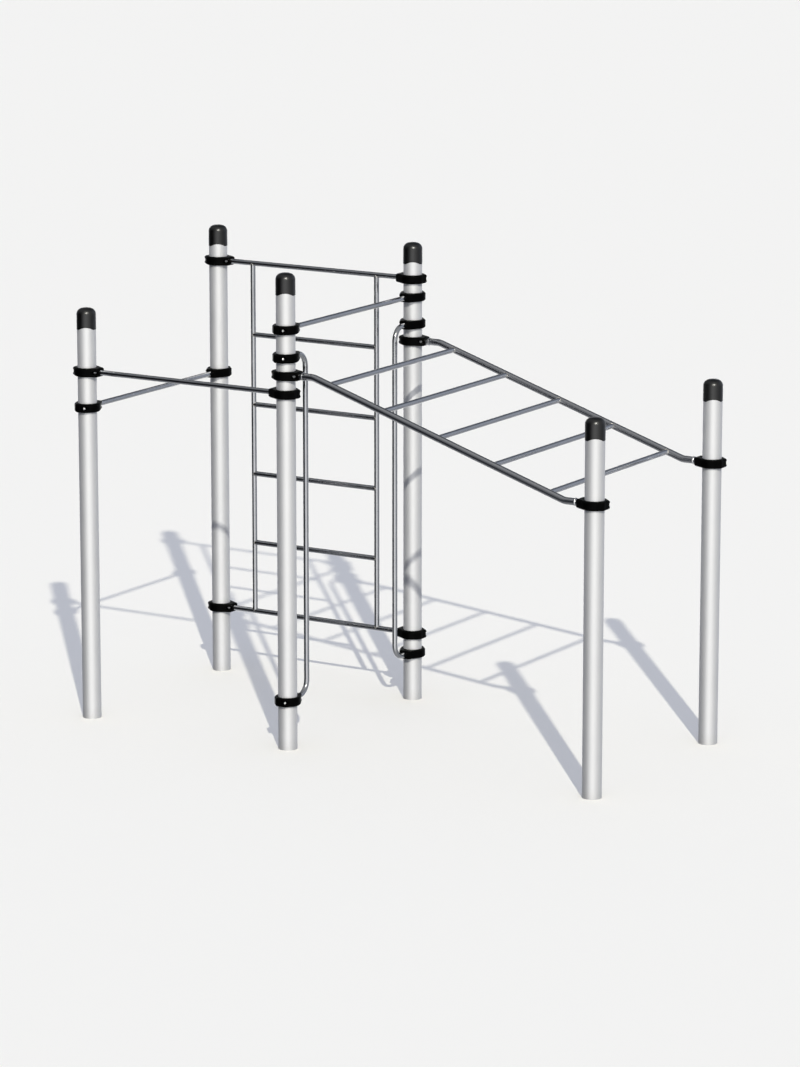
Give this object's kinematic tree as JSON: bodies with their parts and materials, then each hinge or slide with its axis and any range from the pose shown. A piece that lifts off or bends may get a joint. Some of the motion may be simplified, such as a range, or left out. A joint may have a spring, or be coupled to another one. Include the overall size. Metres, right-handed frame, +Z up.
{
  "type": "outdoor fitness station",
  "caption": "Outdoor fitness station: steel posts with domed caps carry pull-up bars, a climbing wall, bent grip poles and an inclined ladder, all held by two-part clamps.",
  "frame": {"origin": "centre of the six posts' plan, on the ground", "axes": "+X along the station from the medium post towards the low ladder posts, +Y across it from the pull-up bar side to the climbing wall side, +Z up"},
  "size_m": [3.461, 1.498, 2.705],
  "materials": {
    "post_paint": "white powder coat, satin",
    "cap_plastic": "dark grey moulded plastic, satin",
    "clamp_coat": "black powder coat, matte",
    "bar_steel": "ground stainless steel, satin",
    "screw_steel": "bright stainless steel"
  },
  "bodies": {
    "root": {"post_front_left": "post_paint", "post_back_left": "post_paint", "post_front_middle": "post_paint", "post_back_middle": "post_paint", "post_front_right": "post_paint", "post_back_right": "post_paint", "cap_front_left": "cap_plastic", "cap_back_left": "cap_plastic", "cap_front_middle": "cap_plastic", "cap_back_middle": "cap_plastic", "cap_front_right": "cap_plastic", "cap_back_right": "cap_plastic", "clamp_front_left_pull_up_bar": "clamp_coat", "clamp_front_left_low_bar": "clamp_coat", "clamp_back_left_wall_top": "clamp_coat", "clamp_back_left_low_bar": "clamp_coat", "clamp_back_left_wall_bottom": "clamp_coat", "clamp_front_middle_cross_bar": "clamp_coat", "clamp_front_middle_grip_top": "clamp_coat", "clamp_front_middle_ladder": "clamp_coat", "clamp_front_middle_pull_up_bar": "clamp_coat", "clamp_front_middle_grip_bottom": "clamp_coat", "clamp_back_middle_wall_top": "clamp_coat", "clamp_back_middle_cross_bar": "clamp_coat", "clamp_back_middle_grip_top": "clamp_coat", "clamp_back_middle_ladder": "clamp_coat", "clamp_back_middle_wall_bottom": "clamp_coat", "clamp_back_middle_grip_bottom": "clamp_coat", "clamp_front_right_ladder": "clamp_coat", "clamp_back_right_ladder": "clamp_coat", "pull_up_bar": "bar_steel", "low_bar": "bar_steel", "cross_bar": "bar_steel", "wall_top_rail": "bar_steel", "wall_bottom_rail": "bar_steel", "wall_left_upright": "bar_steel", "wall_right_upright": "bar_steel", "wall_rung_1": "bar_steel", "wall_rung_2": "bar_steel", "wall_rung_3": "bar_steel", "wall_rung_4": "bar_steel", "grip_pole_front": "bar_steel", "grip_pole_back": "bar_steel", "ladder_front_rail": "bar_steel", "ladder_back_rail": "bar_steel", "ladder_rung_1": "bar_steel", "ladder_rung_2": "bar_steel", "ladder_rung_3": "bar_steel", "ladder_rung_4": "bar_steel", "ladder_rung_5": "bar_steel", "clamp_screws": "screw_steel"}
  },
  "joints": []
}
